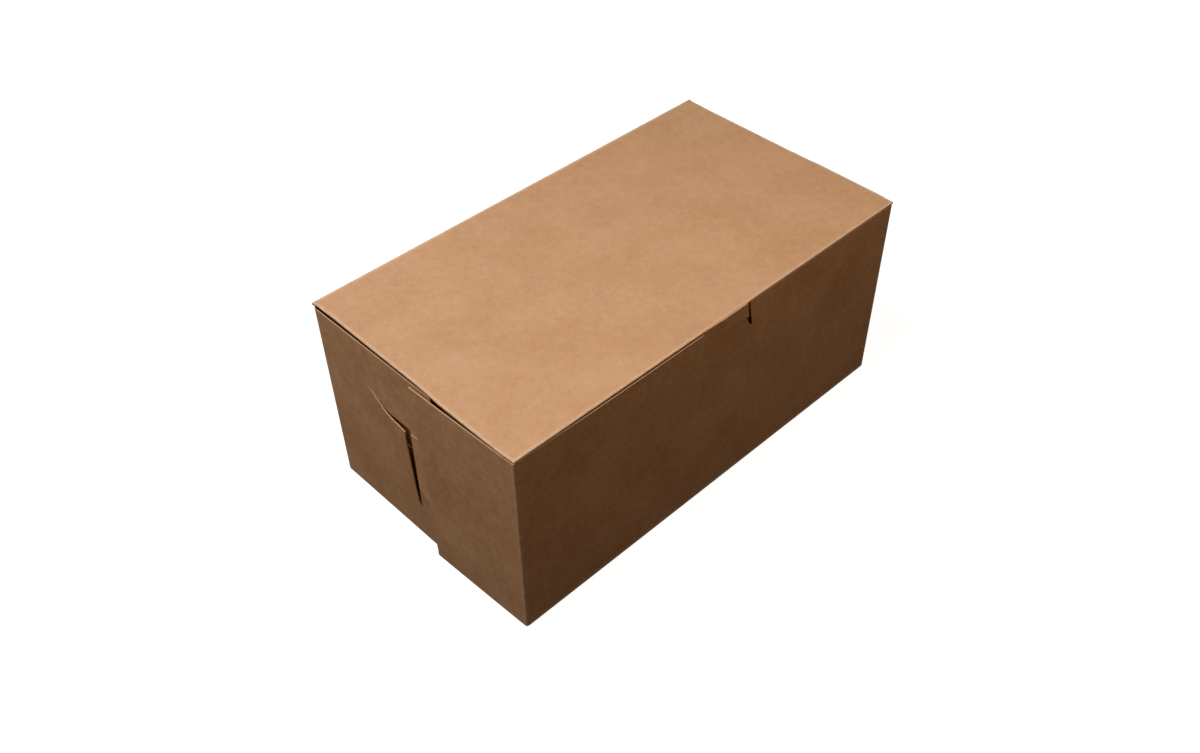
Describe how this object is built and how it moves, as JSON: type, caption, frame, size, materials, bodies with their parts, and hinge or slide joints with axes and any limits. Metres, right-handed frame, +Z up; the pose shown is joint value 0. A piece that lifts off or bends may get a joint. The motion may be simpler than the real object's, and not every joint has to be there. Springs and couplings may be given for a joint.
{
  "type": "bakery box",
  "caption": "One-piece brown kraft paperboard bakery box with interlocked end flaps and a hinged tuck-in lid locked by a tab in a front slot.",
  "frame": {"origin": "middle of the footprint, on the surface that the box stands on", "axes": "+X along the length, +Y towards the back wall that carries the lid's fold, +Z up"},
  "size_m": [0.2362, 0.1278, 0.1016],
  "materials": {
    "kraft_board": "matte"
  },
  "bodies": {
    "tray": {"tray": "kraft_board"},
    "lid": {"lid": "kraft_board"}
  },
  "joints": [
    {"name": "lid_fold", "type": "hinge", "parent": "tray", "child": "lid", "pos_m": [0, 0.0635, 0.1016], "axis": [-1, 0, 0], "range_deg": [0, 175]}
  ]
}
